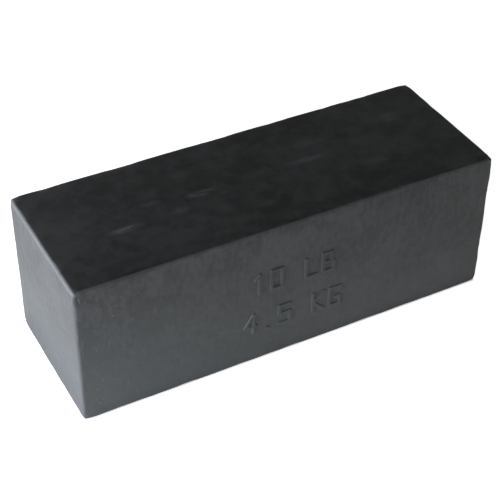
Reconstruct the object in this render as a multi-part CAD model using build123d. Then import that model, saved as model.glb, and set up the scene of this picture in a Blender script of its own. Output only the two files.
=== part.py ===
from build123d import *
import os

# Ten pound diving brick: a steel bar sealed inside a block of black rubber.
#
# The casing is moulded in one piece with a pocket that opens underneath. The bar lies in the
# pocket between two rubber end pads. A rubber base cover fills the casing's mouth: it bears on a
# ledge and on the bar, and it is keyed in by mouth walls that draw together over its edge. Its
# underside is flush with the casing's rim, so the five faces in view have no joint.
#
# Millimetres. X runs along the brick, Z is up, and the origin is the centre of the underside.

# Steel core: a length of hot rolled square bar with sawn ends.
core_length = 177.8  # 7 in
core_side = 50.8  # 2 in square
core_corner_radius = 1.6  # 1/16 in, left by the rolls along the bar's four long corners
core_end_chamfer = 1.0  # takes the burr off each sawn end

# End pads: they take up the saw's tolerance and keep the bar's ends off the casing.
pad_thickness = 6.35  # 1/4 in

# Rubber casing, sized outwards from what it holds.
core_clearance = 0.2  # beside the bar and the pads
side_wall = 12.5  # beside the pocket
end_wall = 12.7  # beyond the pads, 1/2 in
top_wall = 12.7  # over the bar, 1/2 in
edge_radius = 1.5  # every outside edge of the brick

# Base cover, let into the casing's mouth.
cover_thickness = 12.7  # under the bar, 1/2 in
ledge_width = 6.0  # step round the pocket that the cover's edge bears on
key_angle = 4.0  # degrees that the mouth's walls draw together, so the cover can't drop out
mouth_corner_radius = 4.0  # in plan, at the ledge, where the mouth is widest
seam_gap = 0.05  # hairline round the cover

# Sizes that follow from those.
pocket_length = core_length + 2 * pad_thickness
pocket_width = core_side + 2 * core_clearance
pocket_radius = core_corner_radius  # the pocket's inside corners match the bar's
pad_edge_radius = pocket_radius + core_clearance
mouth_length = pocket_length + 2 * ledge_width
mouth_width = pocket_width + 2 * ledge_width
brick_length = pocket_length + 2 * end_wall  # 8 1/2 in
brick_width = pocket_width + 2 * side_wall  # 3 in
brick_height = cover_thickness + core_side + top_wall  # 3 in

UPWARDS = (Align.CENTER, Align.CENTER, Align.MIN)
on_cover = Pos(0, 0, cover_thickness)


def keyed_plate(inset):
    """What fills the casing's mouth, drawn in by the inset all round: widest at the ledge."""
    outline = RectangleRounded(
        mouth_length - 2 * inset, mouth_width - 2 * inset, mouth_corner_radius - inset
    )
    return on_cover * extrude(outline, cover_thickness, dir=(0, 0, -1), taper=key_angle)


def pocket_space():
    """The pocket over the cover, round in its upright corners and under its roof."""
    space = Box(pocket_length, pocket_width, core_side, align=UPWARDS)
    corners = space.edges().filter_by(Axis.Z) + space.faces().sort_by(Axis.Z)[-1].edges()
    return on_cover * fillet(corners, pocket_radius)


def rubber_casing():
    """The outside of the brick with every edge round, opened by the pocket and the mouth."""
    block = Box(brick_length, brick_width, brick_height, align=UPWARDS)
    return fillet(block.edges(), edge_radius) - pocket_space() - keyed_plate(0)


def base_cover():
    """The keyed plate that closes the brick."""
    return keyed_plate(seam_gap)


def steel_core():
    """Square bar along X: rolled corners along its length, a chamfer round each sawn end."""
    bar = Box(core_length, core_side, core_side, align=UPWARDS)
    bar = fillet(bar.edges().filter_by(Axis.X), core_corner_radius)
    return on_cover * chamfer(bar.faces().filter_by(Axis.X).edges(), core_end_chamfer)


def end_pad(side):
    """Pad between the bar and an end wall: side is -1 at the left end and 1 at the right."""
    pad = Box(pad_thickness, core_side, core_side, align=UPWARDS)
    pad = fillet(pad.edges(), pad_edge_radius)
    return on_cover * Pos(side * (core_length + pad_thickness) / 2, 0, 0) * pad


nodes = {
    "rubber_casing": rubber_casing(),
    "base_cover": base_cover(),
    "steel_core": steel_core(),
    "end_pad_left": end_pad(-1),
    "end_pad_right": end_pad(1),
}

os.makedirs("parts", exist_ok=True)
for name, shape in nodes.items():
    export_step(shape, f"parts/{name}.step")

print(f"brick {brick_length:.2f} x {brick_width:.2f} x {brick_height:.2f} mm")
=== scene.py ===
# %% [markdown]
# A diving brick is a block of black rubber with a steel bar sealed inside it. Its construction is
# already fixed: the frame holds each solid at its real place and size, and this script gives it
# its looks. Loading the frame comes first, because every size below is read from it.

# %% Load the frame
import math

import bmesh
import bpy
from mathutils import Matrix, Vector


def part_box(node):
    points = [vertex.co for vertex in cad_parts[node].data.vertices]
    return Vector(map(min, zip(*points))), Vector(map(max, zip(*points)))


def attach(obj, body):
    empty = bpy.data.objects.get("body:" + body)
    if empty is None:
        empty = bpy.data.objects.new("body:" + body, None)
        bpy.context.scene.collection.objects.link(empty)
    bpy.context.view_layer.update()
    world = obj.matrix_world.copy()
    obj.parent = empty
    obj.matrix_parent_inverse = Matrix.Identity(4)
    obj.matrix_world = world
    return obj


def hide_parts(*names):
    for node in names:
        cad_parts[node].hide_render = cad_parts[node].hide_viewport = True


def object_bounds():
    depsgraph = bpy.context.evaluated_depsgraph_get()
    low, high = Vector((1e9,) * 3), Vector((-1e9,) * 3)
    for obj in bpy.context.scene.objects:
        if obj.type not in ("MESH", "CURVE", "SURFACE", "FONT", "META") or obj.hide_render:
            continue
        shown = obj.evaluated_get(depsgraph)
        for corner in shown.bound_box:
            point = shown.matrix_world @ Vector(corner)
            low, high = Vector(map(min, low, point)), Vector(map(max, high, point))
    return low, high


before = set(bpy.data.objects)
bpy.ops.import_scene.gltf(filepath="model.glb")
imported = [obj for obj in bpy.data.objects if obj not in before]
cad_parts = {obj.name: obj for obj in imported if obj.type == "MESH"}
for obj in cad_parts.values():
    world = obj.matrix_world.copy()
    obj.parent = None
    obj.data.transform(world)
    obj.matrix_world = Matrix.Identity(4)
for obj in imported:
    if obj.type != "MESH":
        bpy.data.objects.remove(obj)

MM = 0.001  # the scene is in metres, and sizes below are written in millimetres
cad_low, cad_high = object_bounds()
block_low, block_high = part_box("rubber_casing")
block_middle = (block_low + block_high) / 2
TOP = block_high.z
EDGE_RADIUS = 1.5 * MM  # of every outside edge
print("brick, mm:", [round(side / MM, 1) for side in block_high - block_low])

# %% [markdown]
# The camera stands to the left of the brick and looks down on it. Its direction is given as a
# turn about the vertical and a height above the floor, as a photographer would say it. Its
# distance and lens follow from how strongly the brick's long edges draw together.

# %% Camera
PICTURE_SIDE = 500  # pixels
SENSOR = 36.0  # mm
turn = math.radians(-28.52)
height = math.radians(38.91)
roll = math.radians(0.73)
distance = 647.7 * MM
focal_pixels = 1337.6
slide_right = -2.76 * MM
slide_up = -4.30 * MM

flat = math.cos(height)  # share of the distance that runs along the floor
back = Vector((math.sin(turn) * flat, -math.cos(turn) * flat, math.sin(height)))
level = Vector((math.cos(turn), math.sin(turn), 0))
raised = back.cross(level)
right = math.cos(roll) * level + math.sin(roll) * raised
up = math.cos(roll) * raised - math.sin(roll) * level


def new_object(name, data):
    """An object at the origin that shows this data."""
    made = bpy.data.objects.new(name, data)
    bpy.context.scene.collection.objects.link(made)
    return made


camera = new_object("camera", bpy.data.cameras.new("camera"))
camera.data.sensor_width = SENSOR
camera.data.lens = focal_pixels / PICTURE_SIDE * SENSOR
stand = block_middle + back * distance + right * slide_right + up * slide_up
pose = camera.matrix_world.copy()
for row in range(3):
    pose[row] = right[row], up[row], back[row], stand[row]
camera.matrix_world = pose
bpy.context.scene.camera = camera
print("lens, mm:", round(camera.data.lens, 1))

# %% [markdown]
# Finishes and shapes are both built from nodes here, and the same helpers serve both: add makes a
# node and sets its own options, and feed gives its sockets a value or a link each. Colours are
# written as they look on a screen, in sRGB hex, and sockets want linear light, so one function
# turns them.

# %% Node, colour and finish helpers
def feed(tree, node, inputs):
    """Gives a node's sockets, named or numbered, a value or a link each."""
    for socket, value in dict(inputs).items():
        if isinstance(value, bpy.types.NodeSocket):
            tree.links.new(value, node.inputs[socket])
        else:
            node.inputs[socket].default_value = value


def add(tree, kind, inputs=(), **settings):
    """Adds one node. Settings are its own options, and inputs are for its sockets."""
    made = tree.nodes.new(kind)
    for option, value in settings.items():
        setattr(made, option, value)
    feed(tree, made, inputs)
    return made


def empty_tree(owner):
    """The node tree of a material or a world, with nothing in it."""
    owner.use_nodes = True
    owner.node_tree.nodes.clear()
    return owner.node_tree


def linear(hex_colour):
    """An sRGB hex colour as linear red, green, blue and alpha."""
    channels = [int(hex_colour[place:place + 2], 16) / 255 for place in (1, 3, 5)]
    return [c / 12.92 if c <= 0.04045 else ((c + 0.055) / 1.055) ** 2.4 for c in channels] + [1.0]


def new_finish(name):
    """An empty material with a Principled surface: its tree, the shader and object coordinates."""
    material = bpy.data.materials.new(name)
    tree = empty_tree(material)
    surface = add(tree, "ShaderNodeBsdfPrincipled")
    add(tree, "ShaderNodeOutputMaterial", {"Surface": surface.outputs[0]})
    coordinates = add(tree, "ShaderNodeTexCoord").outputs["Object"]
    return material, tree, surface, coordinates


def dress_solid(node, finish):
    """Gives a solid of the frame this finish alone."""
    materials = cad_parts[node].data.materials
    materials.clear()
    materials.append(finish)


print("screen grey #808080 in linear light:", round(linear("#808080")[0], 3))

# %% [markdown]
# Patterns come out of a few kinds of node that turn up again and again: noise of a given size, a
# ramp that eases one range into another, and single steps of arithmetic. With a short function for
# each, a finish further down reads like a recipe.

# %% Pattern and arithmetic helpers
def noise(tree, where, size, detail=2.0, stretch=(1, 1, 1)):
    """Noise with features of about this size, longer along an axis where stretch is above 1."""
    scale = [1 / (size * s) for s in stretch]
    fitted = add(tree, "ShaderNodeMapping", {"Vector": where, "Scale": scale}).outputs[0]
    inputs = {"Vector": fitted, "Scale": 1.0, "Detail": detail}
    return add(tree, "ShaderNodeTexNoise", inputs).outputs[0]


def ramp(tree, value, from_low, from_high, to_low=0.0, to_high=1.0):
    """The value eased from one range to another and held at the ends."""
    inputs = {0: value, 1: from_low, 2: from_high, 3: to_low, 4: to_high}
    return add(tree, "ShaderNodeMapRange", inputs, interpolation_type="SMOOTHSTEP").outputs[0]


def calculate(tree, operation, *values):
    """One step of arithmetic on numbers."""
    return add(tree, "ShaderNodeMath", dict(enumerate(values)), operation=operation).outputs[0]


def vector(tree, operation, *values):
    """One step of arithmetic on vectors, with a vector as its result."""
    return add(tree, "ShaderNodeVectorMath", dict(enumerate(values)), operation=operation).outputs[0]


def length(tree, value):
    """The length of a vector."""
    return add(tree, "ShaderNodeVectorMath", {0: value}, operation="LENGTH").outputs["Value"]


def scaled(tree, value, factor):
    """The vector, made longer or shorter by the factor."""
    return add(tree, "ShaderNodeVectorMath", {0: value, 3: factor}, operation="SCALE").outputs[0]


def away_from(tree, position, centre, reach):
    """Distance from a centre, where one is the edge of an ellipsoid with this reach."""
    return length(tree, vector(tree, "DIVIDE", vector(tree, "SUBTRACT", position, centre), reach))


def separate(tree, value):
    """The three parts of a vector, under the names X, Y and Z."""
    return add(tree, "ShaderNodeSeparateXYZ", {0: value}).outputs


def bump(tree, height, strength, depth, **settings):
    """A node whose normal leans as if the height stood out by this depth."""
    inputs = {"Height": height, "Strength": strength, "Distance": depth}
    return add(tree, "ShaderNodeBump", inputs, **settings)


def blend(tree, share, colour, other):
    """The first colour, giving way to the other where the share rises to one."""
    return add(tree, "ShaderNodeMix", {0: share, 6: colour, 7: other}, data_type="RGBA").outputs[2]


print("scale of noise with features of 30 mm:", round(1 / (30 * MM), 1))

# %% [markdown]
# Carbon-black rubber moulded in a steel mould is nearly black where it is fresh. Waxes and sulphur
# then creep out of it and leave a grey bloom, patchy over a few centimetres, with smaller clouds in
# it and with upright specks where water ran off the sides. Every pattern gets its size in
# millimetres here, so that it stays right at any distance from the camera.
#
# The skin isn't flat either. A blasted mould gives fine grain, and the hot compound freezes with
# shallow dimples a few millimetres wide. Both are bump, because they are too shallow to change
# the outline, and the dimples are what mottles the left end, which the camera sees at a slant.

# %% Rubber colours and sizes
FRESH_RUBBER = "#1b1d1c"
BLOOMED_RUBBER = "#353837"
# Painted light: the paler colour that the sides take low down and towards the left end.
FOOT_PAINTED_LIGHT = "#494d4c"
NICK_POWDER = "#6c7173"
WORN_AND_HIGHLIGHT_RUBBER = "#6b7072"
RUBBER_IOR = 1.50
SHEEN = 0.12  # the bloom's dust catches light that grazes it
SHEEN_ROUGHNESS = 0.45
PATCH = 30 * MM  # bloom patches
CLOUD = 7 * MM  # smaller clouds inside them
SPECK = 2.2 * MM  # upright specks, as water runs off the sides
PATCH_SHARE = 0.8
SPECK_SHARE = 0.8
TOP_SPECK_SHARE = 0.3  # the water stands on the top and dries more evenly
MOTTLE_RANGE = (0.65, 1.15)  # from fresh to bloomed, on the sum of all three
FOOT_TOP = 1.25 * TOP  # height at which the painted light at the foot has run out at the left end
FOOT_FALL = 0.13  # it reaches this much less high for each step to the right
DIMPLE = 4.5 * MM
DIMPLE_DEPTH = 0.36 * MM
TOP_DIMPLE_DEPTH = 0.10 * MM  # the top lay against the mould's polished floor
BLAST_GRAIN = 0.8 * MM  # coarser than real blasting, which is too fine to show
GRAIN_DEPTH = 0.02 * MM
print("bloom patches, clouds and specks, mm:", [round(s / MM, 1) for s in (PATCH, CLOUD, SPECK)])

# %% [markdown]
# Handling leaves its marks on the top: paler wipe marks run lengthwise. Two broad faint patches
# among them are not wipes, and the one at the left end is painted light. The edge between the marked
# face and the top gets a painted highlight, a pale strip on its rounding. All of these could be
# painted on an image, but an ellipse needs only a place and a size, and the edge only its distance
# from the two faces, so they stay sharp however near the camera comes. Streaky noise breaks the wipe
# marks up.

# %% Wipe marks and painted edge highlight
STREAK = 2.0 * MM
STREAK_STRETCH = 5
STREAK_RANGE = (0.22, 0.58)
WIPE_CORE = 0.1  # share of a mark's size at which it is strongest
# The painted highlight along the edge between the marked face and the top, a pale strip on its
# rounding.
EDGE_HIGHLIGHT_DEPTH = 0.4 * MM  # inside the sharp edge, at the middle of its rounding
EDGE_HIGHLIGHT_BAND = (3.0 * MM, 2.0 * MM)  # below the top, from where it starts to where it is full
EDGE_HIGHLIGHT_SHARE = 0.35

# Each mark: from the left end, from the front edge, half length, half width, strength. The last
# two are broad and faint: the first is painted light that lifts the left end of the top, nearest the
# lamp, and the second lifts the front right of the top.
WIPES_AND_PAINTED_LIGHT = (
    (38 * MM, 30 * MM, 11 * MM, 3.0 * MM, 1.0),
    (79 * MM, 39 * MM, 11 * MM, 3.0 * MM, 0.7),
    (55 * MM, 42 * MM, 8 * MM, 2.5 * MM, 0.3),
    (65 * MM, 31 * MM, 8 * MM, 4.0 * MM, 0.3),
    (102 * MM, 18 * MM, 8 * MM, 3.0 * MM, 0.25),
    (136 * MM, 40 * MM, 14 * MM, 3.0 * MM, 0.5),
    (145 * MM, 52 * MM, 12 * MM, 4.5 * MM, 0.25),
    (165 * MM, 24 * MM, 8 * MM, 5.0 * MM, 0.2),
    (190 * MM, 53 * MM, 8 * MM, 7.0 * MM, 0.35),
    (2 * MM, 34 * MM, 32 * MM, 50.0 * MM, 0.09),
    (195 * MM, 8 * MM, 50 * MM, 22.0 * MM, 0.05),
)


def wipes_and_painted_light(tree, where):
    """One value for all the wipe marks and the painted light among them: one in the middle of a mark
    and nothing outside it.
    """
    fine = noise(tree, where, STREAK, 3.0, stretch=(STREAK_STRETCH, 1, 1))
    streaks = ramp(tree, fine, *STREAK_RANGE)
    total = 0.0
    for from_left, from_front, half_length, half_width, strength in WIPES_AND_PAINTED_LIGHT:
        middle = (block_low.x + from_left, block_low.y + from_front, TOP)
        reach = (half_length, half_width, EDGE_RADIUS)
        away = away_from(tree, where, middle, reach)
        total = calculate(tree, "ADD", total, ramp(tree, away, 1.0, WIPE_CORE, 0.0, strength))
    return calculate(tree, "MULTIPLY", total, streaks)


def painted_edge_highlight(tree, place):
    """How strongly a point on the edge between the front and the top takes the painted highlight, as a
    share.
    """
    from_front = calculate(tree, "SUBTRACT", place["Y"], block_low.y)
    from_top = calculate(tree, "SUBTRACT", TOP, place["Z"])
    inside = calculate(tree, "MINIMUM", from_front, from_top)
    near = ramp(tree, from_top, *EDGE_HIGHLIGHT_BAND, 0.0, EDGE_HIGHLIGHT_SHARE)
    return calculate(tree, "MULTIPLY", ramp(tree, inside, 0.0, EDGE_HIGHLIGHT_DEPTH), near)


print("wipe marks:", len(WIPES_AND_PAINTED_LIGHT))

# %% [markdown]
# The finish puts all of that on one Principled surface. The sides are painted paler low down and
# towards the left end, as painted light where the board and the left lamp light them most, and
# bloomed rubber is a little glossier as well as paler. Nicks and pinholes hold pale powder: the shape
# tree further down stores how deep each point lies in one, and the finish reads that attribute. What
# is the same all over, such as the IOR and the sheen, is set as a plain value on the surface's own
# socket, so that the export can write it as a number.

# %% Moulded rubber
def moulded_rubber():
    """Dull black rubber with patchy bloom, dimples, powder in its nicks, wipe marks on top, painted
    light low on the sides and a painted highlight on the top's front edge.
    """
    material, tree, surface, where = new_finish("moulded_carbon_black_rubber")
    place = separate(tree, where)
    clouds = noise(tree, where, CLOUD, 3.0)
    patches = noise(tree, where, PATCH, 3.0)
    mottle = calculate(tree, "MULTIPLY_ADD", patches, PATCH_SHARE, clouds)
    specks = noise(tree, where, SPECK, 3.0, stretch=(1, 1, 2.5))
    specks = calculate(tree, "SUBTRACT", specks, 0.5)
    share = ramp(tree, place["Z"], TOP - EDGE_RADIUS, TOP, SPECK_SHARE, TOP_SPECK_SHARE)
    mottle = calculate(tree, "MULTIPLY_ADD", specks, share, mottle)

    bloom = ramp(tree, mottle, *MOTTLE_RANGE)
    colour = blend(tree, bloom, linear(FRESH_RUBBER), linear(BLOOMED_RUBBER))
    # Painted light, paler low on the sides and towards the left end, where the board and the left lamp
    # light them most.
    from_left = calculate(tree, "SUBTRACT", place["X"], block_low.x)
    from_foot = calculate(tree, "MULTIPLY_ADD", from_left, FOOT_FALL, place["Z"])
    colour = blend(tree, ramp(tree, from_foot, FOOT_TOP, 0.0), colour, linear(FOOT_PAINTED_LIGHT))
    # Painted highlight on the edge between the front and the top.
    colour = blend(tree, painted_edge_highlight(tree, place), colour, linear(WORN_AND_HIGHLIGHT_RUBBER))
    # Wipe marks, with painted light lifting the left end of the top.
    colour = blend(tree, wipes_and_painted_light(tree, where), colour, linear(WORN_AND_HIGHLIGHT_RUBBER))
    nick = add(tree, "ShaderNodeAttribute", attribute_name="nick").outputs["Fac"]
    colour = blend(tree, nick, colour, linear(NICK_POWDER))

    dimples = noise(tree, where, DIMPLE, 3.0)
    depth = ramp(tree, place["Z"], TOP - EDGE_RADIUS, TOP, DIMPLE_DEPTH, TOP_DIMPLE_DEPTH)
    dimpled = bump(tree, dimples, 1.0, depth)
    grained = bump(tree, noise(tree, where, BLAST_GRAIN, 2.0), 1.0, GRAIN_DEPTH)
    feed(tree, grained, {"Normal": dimpled.outputs[0]})
    feed(tree, surface, {
        "Base Color": colour,
        "Roughness": ramp(tree, clouds, 0.35, 0.65, 0.48, 0.60),
        "Specular IOR Level": ramp(tree, mottle, *MOTTLE_RANGE, 0.45, 0.55),
        "IOR": RUBBER_IOR,
        "Sheen Weight": SHEEN,
        "Sheen Roughness": SHEEN_ROUGHNESS,
        "Normal": grained.outputs[0],
    })
    return material


casing_finish = moulded_rubber()
print("finish:", casing_finish.name)

# %% [markdown]
# The cover on the underside is the same rubber, but it is what lands on the pool's floor. Fine
# scratches in every direction turn it paler and rougher. Three layers of noise, stretched hard and
# turned against each other, give hairlines without drawing a single line by hand.

# %% Scuffed rubber
SCRATCH = 0.35 * MM
SCRATCH_STRETCH = 26
SCRATCH_TURNS = (12, 74, 131)  # degrees
SCRATCH_RANGE = (0.66, 0.74)  # only the crests of the noise show, as hairlines
SCRATCH_POWDER = 0.5
SCRATCH_DEPTH = 0.04 * MM


def scuffed_rubber():
    """Black rubber worn by the pool floor."""
    material, tree, surface, where = new_finish("scuffed_carbon_black_rubber")
    patches = ramp(tree, noise(tree, where, PATCH, 4.0), 0.4, 0.6)
    colour = blend(tree, patches, linear(FRESH_RUBBER), linear(BLOOMED_RUBBER))
    hairlines = 0.0
    for degrees in SCRATCH_TURNS:
        angle = (0, 0, math.radians(degrees))
        turned = add(tree, "ShaderNodeMapping", {"Vector": where, "Rotation": angle}).outputs[0]
        lines = noise(tree, turned, SCRATCH, 1.0, stretch=(SCRATCH_STRETCH, 1, 1))
        hairlines = calculate(tree, "MAXIMUM", hairlines, ramp(tree, lines, *SCRATCH_RANGE))
    powder = calculate(tree, "MULTIPLY", hairlines, SCRATCH_POWDER)
    feed(tree, surface, {
        "Base Color": blend(tree, powder, colour, linear(WORN_AND_HIGHLIGHT_RUBBER)),
        "Roughness": ramp(tree, hairlines, 0.0, 1.0, 0.6, 0.75),
        "IOR": RUBBER_IOR,
        "Normal": bump(tree, hairlines, 0.4, SCRATCH_DEPTH, invert=True).outputs[0],
    })
    return material


cover_finish = scuffed_rubber()
print("finish:", cover_finish.name)

# %% [markdown]
# The core is hot rolled steel. It leaves the mill under a skin of blue-grey scale, which flakes off
# in places and shows browner metal. Its two ends were sawn, so they are bare and carry the
# blade's fine parallel lines. One finish covers both: a ramp on the distance from the middle
# switches from scale to sawn metal over the last half millimetre. The bar keeps the mesh of its
# solid, because square steel needs nothing more.

# %% Hot rolled steel
MILL_SCALE = "#474d55"
FLAKED_SCALE = "#6a5b50"
SAWN_STEEL = "#a9abad"
SCALE_FLAKE = 9 * MM
SCALE_GRAIN = 1.5 * MM
SCALE_DEPTH = 0.05 * MM
SCALE_METAL = 0.85  # oxide is a little less of a mirror than bare metal
SAW_PITCH = 1.2 * MM
SAWN_FROM, SAWN_TO = 0.6 * MM, 0.1 * MM  # before the bar's end
bar_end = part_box("steel_core")[1].x


def hot_rolled_steel():
    """Mill scale along the bar and saw lines on its ends."""
    material, tree, surface, where = new_finish("hot_rolled_steel")
    flakes = ramp(tree, noise(tree, where, SCALE_FLAKE, 6.0), 0.55, 0.62)
    scale = blend(tree, flakes, linear(MILL_SCALE), linear(FLAKED_SCALE))
    along = separate(tree, where)
    from_middle = calculate(tree, "ABSOLUTE", along["X"])
    sawn = ramp(tree, from_middle, bar_end - SAWN_FROM, bar_end - SAWN_TO)
    wave = calculate(tree, "SINE", calculate(tree, "MULTIPLY", along["Z"], 2 * math.pi / SAW_PITCH))
    lines = calculate(tree, "MULTIPLY", wave, sawn)
    rough = calculate(tree, "ADD", noise(tree, where, SCALE_GRAIN, 4.0), lines)
    feed(tree, surface, {
        "Base Color": blend(tree, sawn, scale, linear(SAWN_STEEL)),
        "Roughness": ramp(tree, sawn, 0.0, 1.0, 0.58, 0.36),
        "Metallic": SCALE_METAL,
        "Normal": bump(tree, rough, 0.5, SCALE_DEPTH).outputs[0],
    })
    return material


steel_finish = hot_rolled_steel()
dress_solid("steel_core", steel_finish)
print("finish:", steel_finish.name)

# %% [markdown]
# The end pads are pressed from the same compound, but nothing has touched them since: they are
# blacker, duller and free of bloom, with the faint weave of the cloth they cured between.

# %% Pressed pad rubber
PAD_BLACK = "#1c1d1e"
PAD_GREY = "#27292a"
PAD_PATCH = 5 * MM
CLOTH_PITCH = 0.8 * MM
CLOTH_DEPTH = 0.06 * MM


def pressed_rubber():
    """Matte black rubber with a cloth's weave pressed into it."""
    material, tree, surface, where = new_finish("pressed_pad_rubber")
    along = separate(tree, where)
    weave = 0.0
    for axis in ("Y", "Z"):
        turns = calculate(tree, "MULTIPLY", along[axis], 2 * math.pi / CLOTH_PITCH)
        weave = calculate(tree, "ADD", weave, calculate(tree, "SINE", turns))
    patches = ramp(tree, noise(tree, where, PAD_PATCH, 4.0), 0.4, 0.6)
    colour = blend(tree, patches, linear(PAD_BLACK), linear(PAD_GREY))
    feed(tree, surface, {
        "Base Color": colour,
        "Roughness": ramp(tree, patches, 0.0, 1.0, 0.75, 0.85),
        "IOR": RUBBER_IOR,
        "Normal": bump(tree, weave, 0.4, CLOTH_DEPTH).outputs[0],
    })
    return material


pad_finish = pressed_rubber()
for pad in ("end_pad_left", "end_pad_right"):
    dress_solid(pad, pad_finish)
print("finish:", pad_finish.name)

# %% [markdown]
# The casing starts as a block whose six faces share one lattice of points. A cube with a Bevel
# modifier would look the same from afar, but each of its faces would be one polygon with nothing
# to press marks into. In the lattice every point can sink a little. Pushing each point out from an
# inner box by the edge radius rounds all twelve edges and eight corners by one rule, and the
# lattice is bunched near the edges so that the rounding gets even steps.

# %% Rounded lattice block
EDGE_STEPS = 4  # from the middle of a rounded edge to the flat
EDGE_HOLD = 0.4 * MM  # a narrow row of cells beside each edge keeps the flat's shading flat
CELL = 2.4 * MM


def lattice_steps(low, high):
    """Positions along one side of the block, bunched at both ends for the rounding."""
    angles = [math.pi / 4 * (1 - step / EDGE_STEPS) for step in range(EDGE_STEPS + 1)]
    bunch = [EDGE_RADIUS * (1 - math.tan(angle)) for angle in angles]
    bunch.append(EDGE_RADIUS + EDGE_HOLD)
    start, stop = low + bunch[-1], high - bunch[-1]
    count = round((stop - start) / CELL)
    middle = [start + (stop - start) * k / count for k in range(1, count)]
    return [low + b for b in bunch] + middle + [high - b for b in reversed(bunch)]


def rounded(point):
    """The lattice point moved onto the block with rounded edges."""
    inner = Vector(
        [min(max(point[a], block_low[a] + EDGE_RADIUS), block_high[a] - EDGE_RADIUS) for a in range(3)]
    )
    return inner + (point - inner).normalized() * EDGE_RADIUS


def lattice_block():
    """A closed mesh of quads with the block's outside."""
    steps = [lattice_steps(block_low[a], block_high[a]) for a in range(3)]
    block = bmesh.new()
    corners = {}

    def corner(key):
        if key not in corners:
            corners[key] = block.verts.new(rounded(Vector([steps[a][key[a]] for a in range(3)])))
        return corners[key]

    for axis in range(3):
        across, along = (axis + 1) % 3, (axis + 2) % 3
        for end in (0, len(steps[axis]) - 1):
            for a in range(len(steps[across]) - 1):
                for b in range(len(steps[along]) - 1):
                    ring = []
                    for step_a, step_b in ((0, 0), (1, 0), (1, 1), (0, 1)):
                        key = [0, 0, 0]
                        key[axis], key[across], key[along] = end, a + step_a, b + step_b
                        ring.append(corner(tuple(key)))
                    block.faces.new(ring if end else ring[::-1])
    return block


block_mesh = lattice_block()
print("lattice:", len(block_mesh.faces), "quads")

# %% [markdown]
# The mould has its marks cut into one wall, so on the brick they stand up, 0.6 mm high. They give
# the weight in pounds and in kilograms, in plain strokes of one width, as a milling cutter leaves
# them. Each glyph is a few paths in a box one wide and one high. A font would give outlines, but
# what a cutter follows, and what the next trees need, is the middle line of each stroke.

# %% Stroke paths
GLYPH_WIDTH = 5.6 * MM
GLYPH_HEIGHT = 10.6 * MM
GLYPH_PITCH = 9.1 * MM
BASELINES = (40.9 * MM, 17.9 * MM)  # above the floor
MARK_LINES = ("10 LB", "4.5 KG")

STROKES = {
    "0": [[(0, 0), (1, 0), (1, 1), (0, 1), (0, 0)]],
    "1": [[(0.15, 0.8), (0.5, 1), (0.5, 0)]],
    "4": [[(0.8, 0), (0.8, 1), (0, 0.35), (1, 0.35)]],
    "5": [[(1, 1), (0, 1), (0, 0.55), (1, 0.55), (1, 0), (0, 0)]],
    ".": [[(0.45, 0), (0.55, 0)]],
    "L": [[(0, 1), (0, 0), (1, 0)]],
    "B": [[(0, 0), (0, 1), (0.8, 1), (0.8, 0.54), (1, 0.46), (1, 0), (0, 0)], [(0, 0.5), (0.9, 0.5)]],
    "K": [[(0, 0), (0, 1)], [(1, 1), (0, 0.5), (1, 0)]],
    "G": [[(1, 0.85), (1, 1), (0, 1), (0, 0), (1, 0), (1, 0.45), (0.6, 0.45)]],
}


def mark_paths():
    """Every stroke of both lines, as points on the front face."""
    paths = []
    for line, baseline in zip(MARK_LINES, BASELINES):
        start = block_middle.x - ((len(line) - 1) * GLYPH_PITCH + GLYPH_WIDTH) / 2
        for count, glyph in enumerate(line):
            corner = Vector((start + count * GLYPH_PITCH, block_low.y, baseline))
            for stroke in STROKES.get(glyph, []):
                steps = [Vector((x * GLYPH_WIDTH, 0, z * GLYPH_HEIGHT)) for x, z in stroke]
                paths.append([corner + step for step in steps])
    return paths


def stroke_curve(paths):
    """The paths as one curve object, which the pressing tree reads."""
    data = bpy.data.curves.new("mark_strokes", "CURVE")
    data.dimensions = "3D"
    for path in paths:
        spline = data.splines.new("POLY")
        spline.points.add(len(path) - 1)
        for point, position in zip(spline.points, path):
            point.co = (*position, 1)
    return new_object("mark_strokes", data)


marks = mark_paths()
mark_strokes = stroke_curve(marks)
print("strokes:", len(marks))

# %% [markdown]
# The next steps build shapes with Geometry Nodes, and these helpers serve them all. Every tree
# starts with a mesh and a named input for each size, and ends by making its copies real and giving
# them a material, because the exported model keeps no instances. A modifier's inputs are set by
# each socket's identifier before the object is first evaluated, and new_from_object then turns the
# result into a plain mesh.

# %% Modifier tree helpers
def start_tree(name, sizes):
    """A modifier tree with a mesh in, a mesh out and a named input for each size."""
    tree = bpy.data.node_groups.new(name, "GeometryNodeTree")
    tree.interface.new_socket("Geometry", in_out="INPUT", socket_type="NodeSocketGeometry")
    for size, kind in sizes.items():
        tree.interface.new_socket(size, in_out="INPUT", socket_type="NodeSocket" + kind)
    tree.interface.new_socket("Geometry", in_out="OUTPUT", socket_type="NodeSocketGeometry")
    return tree, add(tree, "NodeGroupInput").outputs


def end_tree(tree, geometry, finish):
    """Every tree ends in real geometry with a material on it."""
    real = add(tree, "GeometryNodeRealizeInstances", {"Geometry": geometry})
    painted = add(tree, "GeometryNodeSetMaterial", {"Geometry": real.outputs[0], "Material": finish})
    add(tree, "NodeGroupOutput", {"Geometry": painted.outputs[0]})


def evaluated_mesh(piece):
    """The piece's mesh as its modifiers leave it."""
    graph = bpy.context.evaluated_depsgraph_get()
    return bpy.data.meshes.new_from_object(piece.evaluated_get(graph), depsgraph=graph)


def run_tree(piece, tree, values):
    """The piece's mesh after the tree, as a plain mesh. The piece is left as it was."""
    modifier = piece.modifiers.new(tree.name, "NODES")
    modifier.node_group = tree
    for socket in tree.interface.items_tree:
        if socket.in_out == "INPUT" and socket.name in values:
            modifier[socket.identifier] = values[socket.name]
    result = evaluated_mesh(piece)
    piece.modifiers.remove(modifier)
    return result


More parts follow.
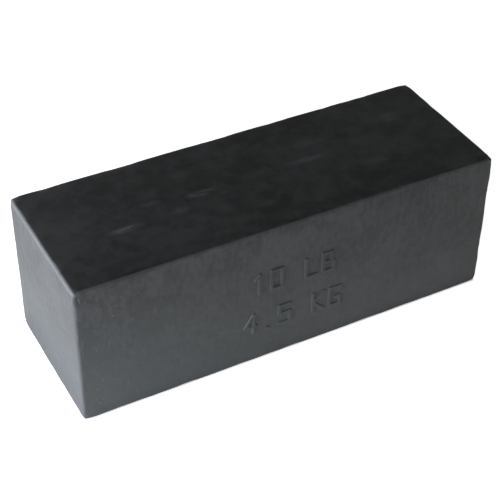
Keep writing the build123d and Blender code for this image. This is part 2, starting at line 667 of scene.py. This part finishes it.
def plain_mesh(name, made):
    """The bmesh as a mesh."""
    mesh = bpy.data.meshes.new(name)
    made.to_mesh(mesh)
    return mesh


rough_block = new_object("rough_block", plain_mesh("rough_block", block_mesh))
print("rough block, faces:", len(rough_block.data.polygons))

# %% [markdown]
# Trapped air, grit and knocks leave small nicks. They are short upright scratches and pinholes, and
# they crowd down the left end of the marked face, along the left of the top, and under the top
# edge at the right. Scattering is a job for Geometry Nodes: Distribute Points on Faces takes a
# density that differs from place to place, a fixed seed makes every run alike, and a short line
# of random length and lean stands on each point. The tree gives back those lines as bare edges,
# each with its own radius.

# %% Nick tree
MOSTLY_SMALL = 3.0  # power that draws random sizes towards the small end
TOP_SHARE = 0.5  # of the front's density
BAND_CORE = 0.2  # share of the left band in which the nicks are thickest
PATCH_CORE = 0.5  # and of the patch's reach


def between(tree, low, high, seed, step):
    """A random value from low to high, where most are near low. Each step gives other values."""
    own_seed = calculate(tree, "ADD", seed, step)
    chance = add(tree, "FunctionNodeRandomValue", {"Seed": own_seed}).outputs[1]
    spread = calculate(tree, "SUBTRACT", high, low)
    rare = calculate(tree, "POWER", chance, MOSTLY_SMALL)
    return calculate(tree, "MULTIPLY_ADD", rare, spread, low)


def nick_density(tree, size):
    """Nicks per square metre at each point: few all over, many in the left band and the patch."""
    position = add(tree, "GeometryNodeInputPosition").outputs[0]
    facing = separate(tree, add(tree, "GeometryNodeInputNormal").outputs["Normal"])
    to_front = ramp(tree, facing["Y"], -0.5, -0.9)
    shown = calculate(tree, "MAXIMUM", to_front, ramp(tree, facing["Z"], 0.5, 0.9, 0.0, TOP_SHARE))
    from_left = calculate(tree, "SUBTRACT", separate(tree, position)["X"], size["Left"])
    along = calculate(tree, "DIVIDE", from_left, size["Left Band"])
    band = calculate(tree, "MULTIPLY", ramp(tree, along, BAND_CORE, 1.0, 1.0, 0.0), shown)
    away = away_from(tree, position, size["Patch Centre"], size["Patch Reach"])
    patch = calculate(tree, "MULTIPLY", ramp(tree, away, PATCH_CORE, 1.0, 1.0, 0.0), to_front)
    density = calculate(tree, "MULTIPLY_ADD", band, size["Crowded Density"], size["Sparse Density"])
    return calculate(tree, "MULTIPLY_ADD", patch, size["Patch Density"], density)


def nick_tree():
    """Short lines scattered over a block, thick in a left band and round one patch."""
    tree, size = start_tree("scatter_nicks", {
        "Sparse Density": "Float", "Crowded Density": "Float", "Patch Density": "Float",
        "Left": "Float", "Left Band": "Float", "Patch Centre": "Vector", "Patch Reach": "Vector",
        "Smallest Radius": "Float", "Largest Radius": "Float", "Faintest": "Float",
        "Shortest": "Float", "Longest": "Float", "Lean": "Float", "Seed": "Int", "Finish": "Material",
    })
    seed = size["Seed"]
    scatter = add(tree, "GeometryNodeDistributePointsOnFaces", {
        "Mesh": size["Geometry"], "Density": nick_density(tree, size), "Seed": seed,
    })
    points = scatter.outputs["Points"]
    radius = between(tree, size["Smallest Radius"], size["Largest Radius"], seed, 0.0)
    strength = between(tree, size["Faintest"], 1.0, seed, 3.0)
    for name, value in (("nick_radius", radius), ("nick_strength", strength)):
        kept = add(tree, "GeometryNodeStoreNamedAttribute", {
            "Geometry": points, "Name": name, "Value": value,
        })
        points = kept.outputs[0]
    line = add(tree, "GeometryNodeMeshLine", {
        "Count": 2, "Start Location": (0, 0, -0.5), "Offset": (0, 0, 1),
    })
    long = between(tree, size["Shortest"], size["Longest"], seed, 1.0)
    stretch = add(tree, "ShaderNodeCombineXYZ", {0: 1.0, 1: 1.0, 2: long}).outputs[0]
    spread = {0: (-1, -1, 0), 1: (1, 1, 0), "Seed": calculate(tree, "ADD", seed, 2.0)}
    lean = add(tree, "FunctionNodeRandomValue", spread, data_type="FLOAT_VECTOR").outputs[0]
    lines = add(tree, "GeometryNodeInstanceOnPoints", {
        "Points": points, "Instance": line.outputs[0], "Scale": stretch,
        "Rotation": scaled(tree, lean, size["Lean"]),
    })
    end_tree(tree, lines.outputs[0], size["Finish"])
    return tree


scatter_nicks = nick_tree()
print("nick tree, nodes:", len(scatter_nicks.nodes))

# %% [markdown]
# The tree's inputs are set here. Densities count nicks per square centimetre, because that can be
# checked with a ruler laid on the brick. Most of the face has next to none, the left band has five
# or so, and the patch under the top edge at the right is the most crowded.

# %% Scatter the nicks
PER_SQUARE_CM = 1e4  # the tree's densities are per square metre
nicks = new_object("nicks", run_tree(rough_block, scatter_nicks, {
    "Sparse Density": 0.06 * PER_SQUARE_CM,
    "Crowded Density": 5.5 * PER_SQUARE_CM,
    "Patch Density": 22.0 * PER_SQUARE_CM,
    "Left": block_low.x,
    "Left Band": 34 * MM,
    "Patch Centre": (block_low.x + 189 * MM, block_low.y, TOP - 3.5 * MM),
    "Patch Reach": (12 * MM, 5 * MM, 4.5 * MM),
    "Smallest Radius": 0.20 * MM,
    "Largest Radius": 0.50 * MM,
    "Faintest": 0.2,
    "Shortest": 0.4 * MM,
    "Longest": 4.0 * MM,
    "Lean": 0.3,
    "Seed": 7,
    "Finish": casing_finish,
}))
print("nicks:", len(nicks.data.edges))

# %% [markdown]
# A lattice cell is wider than a stroke, so the lattice is cut finer where something is pressed in.
# Subdividing the whole block to stroke size would take millions of faces. Cutting only the
# chosen cells keeps it light: first all cells near a line, and then, of those, the ones that its
# walls pass through. bmesh gives the neighbours matching corners, so the block stays closed.

# %% Finer cells under the marks
STROKE_REACH = 1.3 * MM  # from a stroke's middle line to the foot of its wall
NICK_REACH = 0.6 * MM
NO_LENGTH = 1e-12  # square metres, so that a stretch without length divides safely
FIRST_CUTS = 3
STROKE_CUTS = 3
NICK_CUTS = 1
COARSE_CELL = CELL * 0.5  # cells wider than this get the first cuts
FINE_CELL = CELL * 0.2 / FIRST_CUTS  # and cells wider than this the second


def from_segment(point, start, stop):
    """Distance from the point to the straight stretch between start and stop."""
    along = stop - start
    squared = max(along.length_squared, NO_LENGTH)
    share = max(0.0, min(1.0, (point - start).dot(along) / squared))
    return (point - start - along * share).length


def cells_near(mesh, segments, reach, smallest):
    """The cells larger than the smallest that come within reach of a segment."""
    chosen = []
    for face in mesh.faces:
        middle = face.calc_center_median()
        wide = max((vertex.co - middle).length for vertex in face.verts)
        if wide > smallest and any(from_segment(middle, *pair) < reach + wide for pair in segments):
            chosen.append(face)
    return chosen


def cut_cells(mesh, chosen, cuts):
    """Cuts the chosen faces into a fine grid."""
    edges = {edge for face in chosen for edge in face.edges}
    bmesh.ops.subdivide_edges(mesh, edges=list(edges), cuts=cuts, use_grid_fill=True)


stroke_segments = [pair for path in marks for pair in zip(path, path[1:])]
nick_points = [vertex.co.copy() for vertex in nicks.data.vertices]
nick_segments = [tuple(nick_points[end] for end in edge.vertices) for edge in nicks.data.edges]
for segments, reach, cuts in (
    (stroke_segments, STROKE_REACH, STROKE_CUTS),
    (nick_segments, NICK_REACH, NICK_CUTS),
):
    coarse = cells_near(block_mesh, segments, reach, COARSE_CELL)
    cut_cells(block_mesh, coarse, FIRST_CUTS)
    fine = cells_near(block_mesh, segments, reach, FINE_CELL)
    fine = [face for face in fine if face.calc_area() < COARSE_CELL ** 2]
    cut_cells(block_mesh, fine, cuts)
    print("cells cut:", len(coarse), "and then", len(fine))
fine_block = new_object("fine_block", plain_mesh("fine_block", block_mesh))
print("faces:", len(fine_block.data.polygons))

# %% [markdown]
# A second tree shapes everything at once. The marked face is drawn in by 0.6 mm where the rubber
# shrank round the middle, and the strokes stand up from that hollow to the old face with sloping
# walls, so the raised marks add nothing to the brick's size. At each point the tree asks how far
# the nearest stroke and the nearest nick are. Each of the functions below adds one part of the
# answer: how deep the point sinks for the marks, for a nick, or for wear.

# %% Depths for the pressing tree
HOLLOW_FLAT = 0.55  # share of the hollow's reach within which it is deepest
NICK_CORE = 0.2  # share of a nick's radius within which it is deepest
CORNER_CORE = 0.2  # share of a corner's reach within which it is worn most
WEAR_RANGE = (0.42, 0.68)  # noise from which an edge is rubbed, and at which it is rubbed most
SWELL_RANGE = (0.25, 0.75)


def field(tree, position, size, detail):
    """Noise for a modifier tree, with features of about this size."""
    frequency = calculate(tree, "DIVIDE", 1.0, size)
    inputs = {"Vector": position, "Scale": frequency, "Detail": detail}
    return add(tree, "ShaderNodeTexNoise", inputs).outputs[0]


def hollow_depth(tree, size, position):
    """The hollow of the marked face, less the strokes that stand up in it."""
    strokes = add(tree, "GeometryNodeObjectInfo", {"Object": size["Strokes"]})
    lines = add(tree, "GeometryNodeCurveToMesh", {"Curve": strokes.outputs["Geometry"]})
    to_stroke = add(tree, "GeometryNodeProximity", {0: lines.outputs[0]}, target_element="EDGES")
    half_width = calculate(tree, "MULTIPLY", size["Stroke Width"], 0.5)
    wall_foot = calculate(tree, "ADD", half_width, size["Stroke Wall"])
    off_stroke = ramp(tree, to_stroke.outputs["Distance"], half_width, wall_foot)
    away = away_from(tree, position, size["Hollow Centre"], size["Hollow Reach"])
    hollow = calculate(tree, "MULTIPLY", ramp(tree, away, 1.0, HOLLOW_FLAT), size["Hollow Depth"])
    return calculate(tree, "MULTIPLY", hollow, off_stroke)


def nick_depth(tree, size, normal):
    """How far into a nick the point is, as a share, and how deep that makes it."""
    scratches = add(tree, "GeometryNodeObjectInfo", {"Object": size["Nicks"]}).outputs["Geometry"]
    to_nick = add(tree, "GeometryNodeProximity", {0: scratches}, target_element="EDGES")
    nearest = add(tree, "GeometryNodeSampleNearest", {0: scratches}, domain="EDGE").outputs[0]
    stored = []
    for name in ("nick_radius", "nick_strength"):
        value = add(tree, "GeometryNodeInputNamedAttribute", {"Name": name}).outputs[0]
        inputs = {0: scratches, 1: value, 2: nearest}
        sample = add(tree, "GeometryNodeSampleIndex", inputs, domain="EDGE")
        stored.append(sample.outputs[0])
    radius, strength = stored
    share = calculate(tree, "DIVIDE", to_nick.outputs["Distance"], radius)
    in_nick = calculate(tree, "MULTIPLY", ramp(tree, share, NICK_CORE, 1.0, 1.0, 0.0), strength)
    beside = ramp(tree, separate(tree, normal)["Z"], 0.9, 0.6)  # the smooth top keeps its powder only
    sunk = calculate(tree, "MULTIPLY", beside, size["Nick Depth"])
    return in_nick, calculate(tree, "MULTIPLY", in_nick, calculate(tree, "MULTIPLY", radius, sunk))


def wear_depth(tree, size, position):
    """Edges rubbed down in patches, and corners everywhere."""
    from_middle = vector(tree, "ABSOLUTE", vector(tree, "SUBTRACT", position, size["Middle"]))
    inside = vector(tree, "SUBTRACT", size["Half Size"], from_middle)
    x, y, z = separate(tree, inside)
    smaller, larger = calculate(tree, "MINIMUM", x, y), calculate(tree, "MAXIMUM", x, y)
    to_edge = calculate(tree, "MAXIMUM", smaller, calculate(tree, "MINIMUM", larger, z))
    near_edge = ramp(tree, calculate(tree, "DIVIDE", to_edge, size["Edge Reach"]), 0.0, 1.0, 1.0, 0.0)
    patchy = ramp(tree, field(tree, position, size["Wear Size"], 3.0), *WEAR_RANGE)
    rubbed = calculate(tree, "MULTIPLY", patchy, size["Edge Wear"])
    to_corner = calculate(tree, "DIVIDE", length(tree, inside), size["Corner Reach"])
    near_corner = ramp(tree, to_corner, CORNER_CORE, 1.0, 1.0, 0.0)
    edge_wear = calculate(tree, "MULTIPLY", near_edge, rubbed)
    return calculate(tree, "MULTIPLY_ADD", near_corner, size["Corner Wear"], edge_wear)


print("depths:", [part.__name__ for part in (hollow_depth, nick_depth, wear_depth)])

# %% [markdown]
# The tree adds these up, with a gentle unevenness all over, because a thick rubber block never
# cools quite flat. Corners end up rounder than the edges, because they take the knocks. The point
# moves in along its normal by the sum and never moves out, so the dressed brick stays inside the
# construction's box. How far into a nick it lies is stored as the attribute that the finish reads.

# %% Pressing tree
def pressing_tree():
    """Hollows a face round its strokes, and sinks nicks, unevenness and wear into a block."""
    tree, size = start_tree("press_marks", {
        "Strokes": "Object", "Stroke Width": "Float", "Stroke Wall": "Float",
        "Hollow Depth": "Float", "Hollow Centre": "Vector", "Hollow Reach": "Vector",
        "Nicks": "Object", "Nick Depth": "Float", "Middle": "Vector", "Half Size": "Vector",
        "Unevenness": "Float", "Unevenness Size": "Float",
        "Edge Wear": "Float", "Edge Reach": "Float", "Wear Size": "Float",
        "Corner Wear": "Float", "Corner Reach": "Float", "Finish": "Material",
    })
    position = add(tree, "GeometryNodeInputPosition").outputs[0]
    normal = add(tree, "GeometryNodeInputNormal").outputs["Normal"]
    in_nick, depth_in_nick = nick_depth(tree, size, normal)
    marked = calculate(tree, "ADD", hollow_depth(tree, size, position), depth_in_nick)
    swell = ramp(tree, field(tree, position, size["Unevenness Size"], 2.0), *SWELL_RANGE)
    uneven = calculate(tree, "MULTIPLY", swell, size["Unevenness"])
    worn = calculate(tree, "ADD", uneven, wear_depth(tree, size, position))
    outwards = calculate(tree, "MULTIPLY", calculate(tree, "ADD", marked, worn), -1.0)
    noted = add(tree, "GeometryNodeStoreNamedAttribute", {
        "Geometry": size["Geometry"], "Name": "nick", "Value": in_nick,
    })
    pressed = add(tree, "GeometryNodeSetPosition", {
        "Geometry": noted.outputs[0], "Offset": scaled(tree, normal, outwards),
    })
    end_tree(tree, pressed.outputs[0], size["Finish"])
    return tree


press_marks = pressing_tree()
print("pressing tree, nodes:", len(press_marks.nodes))

# %% [markdown]
# Running the tree on the fine block presses everything in at once. Its inputs are the brick's own
# measures: the strokes are 1.1 mm wide at the top with walls 0.6 mm across, and the hollow has run
# out where the face ends, so that the edges round it stay straight.

# %% Press the block
pressed_block = new_object("pressed_block", run_tree(fine_block, press_marks, {
    "Strokes": mark_strokes,
    "Stroke Width": 1.1 * MM,
    "Stroke Wall": 0.6 * MM,
    "Hollow Depth": 0.60 * MM,
    "Hollow Centre": Vector((block_middle.x, block_low.y, block_middle.z)),
    "Hollow Reach": (62 * MM, 12 * MM, 38 * MM),
    "Nicks": nicks,
    "Nick Depth": 0.8,
    "Middle": block_middle,
    "Half Size": (block_high - block_low) / 2,
    "Unevenness": 0.12 * MM,
    "Unevenness Size": 26 * MM,
    "Edge Wear": 0.25 * MM,
    "Edge Reach": 3.0 * MM,
    "Wear Size": 11 * MM,
    "Corner Wear": 0.35 * MM,
    "Corner Reach": 5.0 * MM,
    "Finish": casing_finish,
}))
print("pressed block, faces:", len(pressed_block.data.polygons))

# %% [markdown]
# The block is cut into the two pieces that show, and both cuts need a cutter: the casing is the
# block less its pocket and mouth, and the cover is what the block and a keyed plate have in
# common. A skin through a few rounded outlines, lowest first, makes either cutter. Its places come
# from the boxes of the solids that lie inside, so the rubber closes round them as it should.

# %% Cutters
SEAM_GAP = 0.05 * MM
KEY_LEAN = math.tan(math.radians(4))  # the mouth's walls draw together towards the underside
MOUTH_CORNER = 4.0 * MM
POCKET_CLEARANCE = 0.2 * MM
POCKET_CORNER = 1.6 * MM
ROOF_INSET = 0.97 * POCKET_CORNER  # the roof's outline keeps a trace of its round corners
CORNER_STEPS = 6
CUTTER_OVERSHOOT = 1.0 * MM
cover_low, cover_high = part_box("base_cover")
core_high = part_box("steel_core")[1]
pad_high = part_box("end_pad_right")[1]


def outline(half_x, half_y, corner, z):
    """A rectangle with round corners, anticlockwise, at one height."""
    points = []
    for quarter, (side_x, side_y) in enumerate(((1, 1), (-1, 1), (-1, -1), (1, -1))):
        for step in range(CORNER_STEPS + 1):
            angle = math.pi / 2 * (quarter + step / CORNER_STEPS)
            points.append(Vector((
                side_x * (half_x - corner) + corner * math.cos(angle),
                side_y * (half_y - corner) + corner * math.sin(angle),
                z,
            )))
    return points


def skin(name, outlines):
    """A closed mesh through the outlines, lowest first."""
    made = bmesh.new()
    rings = [[made.verts.new(point) for point in points] for points in outlines]
    for lower, upper in zip(rings, rings[1:]):
        for k in range(len(lower)):
            after = (k + 1) % len(lower)
            made.faces.new((lower[k], lower[after], upper[after], upper[k]))
    made.faces.new(rings[0][::-1])
    made.faces.new(rings[-1])
    return new_object(name, plain_mesh(name, made))


def keyed_outlines(half_x, half_y, corner):
    """From below the underside, where the mouth is narrowest, up to the ledge."""
    drop = cover_high.z - cover_low.z + CUTTER_OVERSHOOT
    lean = drop * KEY_LEAN
    return [
        outline(half_x - lean, half_y - lean, corner - lean, cover_low.z - CUTTER_OVERSHOOT),
        outline(half_x, half_y, corner, cover_high.z),
    ]


def pocket_outlines():
    """From the ledge up to the pocket's roof, with the roof's rounding."""
    half_x, half_y, roof = pad_high.x, core_high.y + POCKET_CLEARANCE, core_high.z
    rings = [outline(half_x, half_y, POCKET_CORNER, cover_high.z)]
    for step in range(CORNER_STEPS):
        angle = math.pi / 2 * step / CORNER_STEPS
        inset = POCKET_CORNER * (1 - math.cos(angle))
        z = roof - POCKET_CORNER * (1 - math.sin(angle))
        rings.append(outline(half_x - inset, half_y - inset, POCKET_CORNER - inset, z))
    last = outline(half_x - ROOF_INSET, half_y - ROOF_INSET, POCKET_CORNER - ROOF_INSET, roof)
    return rings + [last]


mouth_x, mouth_y = cover_high.x + SEAM_GAP, cover_high.y + SEAM_GAP
hollow = skin("hollow", keyed_outlines(mouth_x, mouth_y, MOUTH_CORNER) + pocket_outlines())
plate = skin("plate", keyed_outlines(cover_high.x, cover_high.y, MOUTH_CORNER - SEAM_GAP))
print("cutter faces:", len(hollow.data.polygons), "and", len(plate.data.polygons))

# %% [markdown]
# Booleans suit the cutting better than modelling each piece by itself, because both pieces keep
# the very same underside, and so they meet flush. An exact Boolean can drop a triangle that is too
# thin for it, which leaves a pinhole, so each result is checked for open edges and closed.

# %% Cut the casing and the cover
def mend_pinholes(mesh):
    """Closes the gap where a Boolean has dropped a triangle too thin for it."""
    made = bmesh.new()
    made.from_mesh(mesh)
    rim = [edge for edge in made.edges if edge.is_boundary]
    bmesh.ops.holes_fill(made, edges=rim, sides=4)
    print("open edges:", len(rim), "left:", sum(edge.is_boundary for edge in made.edges))
    made.to_mesh(mesh)
    made.free()


def carve(name, source, cutter, operation):
    """The source's mesh after one Boolean with the cutter."""
    modifier = source.modifiers.new(name, "BOOLEAN")
    modifier.object = cutter
    modifier.operation = operation
    modifier.solver = "EXACT"
    result = evaluated_mesh(source)
    source.modifiers.remove(modifier)
    mend_pinholes(result)
    return new_object(name, result)


casing = carve("moulded_casing", pressed_block, hollow, "DIFFERENCE")
cover = carve("keyed_cover", pressed_block, plate, "INTERSECT")
print("casing faces:", len(casing.data.polygons), "cover faces:", len(cover.data.polygons))

# %% [markdown]
# Both pieces are shaded smooth except where two faces meet at more than forty degrees, which keeps
# the mouth's rim crisp and the rounded edges soft. The helpers that only served the making are
# then removed, so that the scene holds pieces and nothing else.

# %% Finish and fasten the pieces
CREASE = math.radians(40)


def dress(piece, finish):
    """One material on the whole piece, smooth shading and sharp creases."""
    piece.data.materials.clear()
    piece.data.materials.append(finish)
    piece.data.polygons.foreach_set("material_index", [0] * len(piece.data.polygons))
    piece.data.polygons.foreach_set("use_smooth", [True] * len(piece.data.polygons))
    piece.data.set_sharp_from_angle(angle=CREASE)


dress(casing, casing_finish)
dress(cover, cover_finish)
for helper in (rough_block, fine_block, pressed_block, nicks, mark_strokes, hollow, plate):
    bpy.data.objects.remove(helper)

for piece, node, slot in (
    (casing, "rubber_casing", "casing_rubber"),
    (cover, "base_cover", "cover_rubber"),
):
    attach(piece, "root")
    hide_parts(node)

# %% [markdown]
# The brick stands on a wide white board, which runs far enough to fill the picture from any side.
# It lies just under the brick, so the two never share a plane.

# %% Floor
FLOOR_SIDE = 12.0  # metres
FLOOR_DROP = 0.1 * MM

half = FLOOR_SIDE / 2
floor_z = cad_low[2] - FLOOR_DROP
floor_corners = [(x * half, y * half, floor_z) for x, y in ((-1, -1), (1, -1), (1, 1), (-1, 1))]
floor_mesh = bpy.data.meshes.new("floor")
floor_mesh.from_pydata(floor_corners, [], [(0, 1, 2, 3)])
floor = new_object("floor", floor_mesh)
print("floor, m across:", FLOOR_SIDE)

# %% [markdown]
# Most of the light on the brick's sides is the board's mirror image: rubber seen at a slant
# reflects a good deal, even when it is dull. So the board gives off a little light of its own,
# only for what looks straight at it or at its reflection. It then shows white while the lamps stay
# at a plain level and the brick keeps its soft shadow.
#
# Light that a surface gives off casts no shadow, so the brick's shade on the board is drawn in:
# narrow at the foot, wider on the left and widest on the right, away from the lamp. Only
# reflections see it. It keeps the lower and the right-hand edges dark, as they are on the real
# brick.

# %% White board
FLOOR_COLOUR = "#e6e6e6"
FLOOR_GLOW = 0.89
MIRRORED_GLOW = 0.68  # share that reflections see: the board is dimmer outside the picture
# The glow is off under the brick and comes on just past its foot, which paints a thin contact shadow
# that the camera sees under the foot's rounding.
FOOT_LINE = (-2.0 * MM, 0.3 * MM)  # past the brick's foot, over which the glow comes on
UNLIT_DISTANCE = (0.3, 1.2)  # metres over which the lamps fade out and the glow makes up for them
CONTACT_SHADE = 5 * MM  # the brick keeps light off the board at its foot
LIT_SHADE = 22 * MM  # further out on the left, where the small end face looks low along the board
SIDE_SHADE = 50 * MM  # and furthest on the right, away from the lamp


def ray_kinds(tree):
    """Two shares: one for rays straight from the camera, one for mirrored and refracted rays."""
    rays = add(tree, "ShaderNodeLightPath").outputs
    mirrored = calculate(tree, "MAXIMUM", rays["Is Glossy Ray"], rays["Is Transmission Ray"])
    return rays["Is Camera Ray"], mirrored


board_finish = bpy.data.materials.new("matt_white_board")
tree = empty_tree(board_finish)
place = separate(tree, add(tree, "ShaderNodeTexCoord").outputs["Object"])
past_left = calculate(tree, "MULTIPLY_ADD", place["X"], -1.0, block_low.x)
past_right = calculate(tree, "SUBTRACT", place["X"], block_high.x)
past_side = calculate(tree, "SUBTRACT", calculate(tree, "ABSOLUTE", place["Y"]), block_high.y)
past_lit = calculate(tree, "MAXIMUM", past_left, past_side)
past_foot = calculate(tree, "MAXIMUM", past_lit, past_right)

straight, mirrored = ray_kinds(tree)
direct = calculate(tree, "MULTIPLY", straight, ramp(tree, past_foot, *FOOT_LINE))
far = ramp(tree, past_foot, *UNLIT_DISTANCE, 1.0, 1.0 / FLOOR_GLOW)
direct = calculate(tree, "MULTIPLY", direct, far)
past_shade = calculate(tree, "MAXIMUM", past_side, 0.0)
for past, reach in ((past_left, LIT_SHADE), (past_right, SIDE_SHADE)):
    eased = calculate(tree, "MULTIPLY", past, CONTACT_SHADE / reach)
    past_shade = calculate(tree, "MAXIMUM", past_shade, eased)
unshaded = ramp(tree, past_shade, 0.0, CONTACT_SHADE, 0.0, MIRRORED_GLOW)
share = calculate(tree, "MULTIPLY_ADD", mirrored, unshaded, direct)
strength = calculate(tree, "MULTIPLY", share, FLOOR_GLOW)

board = add(tree, "ShaderNodeBsdfDiffuse", {"Color": linear(FLOOR_COLOUR)})
glow = add(tree, "ShaderNodeEmission", {"Strength": strength})
both = add(tree, "ShaderNodeAddShader", {0: board.outputs[0], 1: glow.outputs[0]})
add(tree, "ShaderNodeOutputMaterial", {"Surface": both.outputs[0]})
floor_mesh.materials.append(board_finish)
print("board finish:", board_finish.name)

# %% [markdown]
# The world is a white band at the horizon, like screens round a table, and nearly dark overhead,
# because that dark is what the top reflects. Rays that come straight from the camera see plain
# white in every direction, and mirrored ones see the screens white, so the background stays white
# without more light on the brick.

# %% World
SCREEN_LIGHT = 0.76
OVERHEAD_LIGHT = 0.016
SCREEN_TOP = math.sin(math.radians(7))  # above the horizon
OVERHEAD_START = math.sin(math.radians(16))

world = bpy.data.worlds.new("white_screens")
bpy.context.scene.world = world
tree = empty_tree(world)
straight, mirrored = ray_kinds(tree)
rise = separate(tree, add(tree, "ShaderNodeTexCoord").outputs["Generated"])["Z"]
room = ramp(tree, rise, SCREEN_TOP, OVERHEAD_START, SCREEN_LIGHT, OVERHEAD_LIGHT)
white_screens = ramp(tree, rise, SCREEN_TOP, OVERHEAD_START, mirrored, 0.0)
white = calculate(tree, "MAXIMUM", straight, white_screens)
strength = calculate(tree, "MAXIMUM", room, white)
background = add(tree, "ShaderNodeBackground", {"Color": (1, 1, 1, 1), "Strength": strength})
add(tree, "ShaderNodeOutputWorld", {"Surface": background.outputs[0]})
print("world:", world.name)

# %% [markdown]
# One small soft lamp stands low and close on the left. Being close, it loses strength along the
# brick, which gives the long face its fall from left to right, and being low it only grazes the
# top. Two weaker lamps behind lift the sides that it doesn't reach, and a high one in front lets
# the rounding of the upper edge pass softly from the face to the top. The lamps themselves are
# hidden from the camera.

# %% Lamps
DAYLIGHT = "#eef1ff"  # the lamp on the left is cooler than the rest
WHITE = "#ffffff"

# Each lamp: direction from the brick, distance, width and depth in metres, watts, colour.
LAMPS = {
    "left_lamp": ((-0.95, -0.16, 0.11), 0.40, 0.30, 0.12, 2.38, DAYLIGHT),
    "back_left_lamp": ((-0.80, 0.55, 0.10), 0.50, 0.30, 0.12, 0.5, WHITE),
    "back_lamp": ((-0.20, 0.95, 0.20), 1.20, 0.80, 0.40, 1.5, WHITE),
    "front_lamp": ((0.37, -0.42, 0.83), 1.20, 0.80, 0.80, 1.8, WHITE),
}


def lamp(name, towards, distance, width, depth, watts, colour):
    """A soft rectangular lamp that stands in this direction from the brick and faces it."""
    data = bpy.data.lights.new(name, "AREA")
    data.shape = "RECTANGLE"
    data.size, data.size_y, data.energy = width, depth, watts
    data.color = linear(colour)[:3]
    made = new_object(name, data)
    aim = Vector(towards).normalized()
    made.location = block_middle + aim * distance
    made.rotation_euler = aim.to_track_quat("Z", "Y").to_euler()
    made.visible_camera = False


for name, settings in LAMPS.items():
    lamp(name, *settings)
bpy.context.scene.view_settings.view_transform = "Standard"
print("lamps, W:", {light.name: round(light.energy, 2) for light in bpy.data.lights})
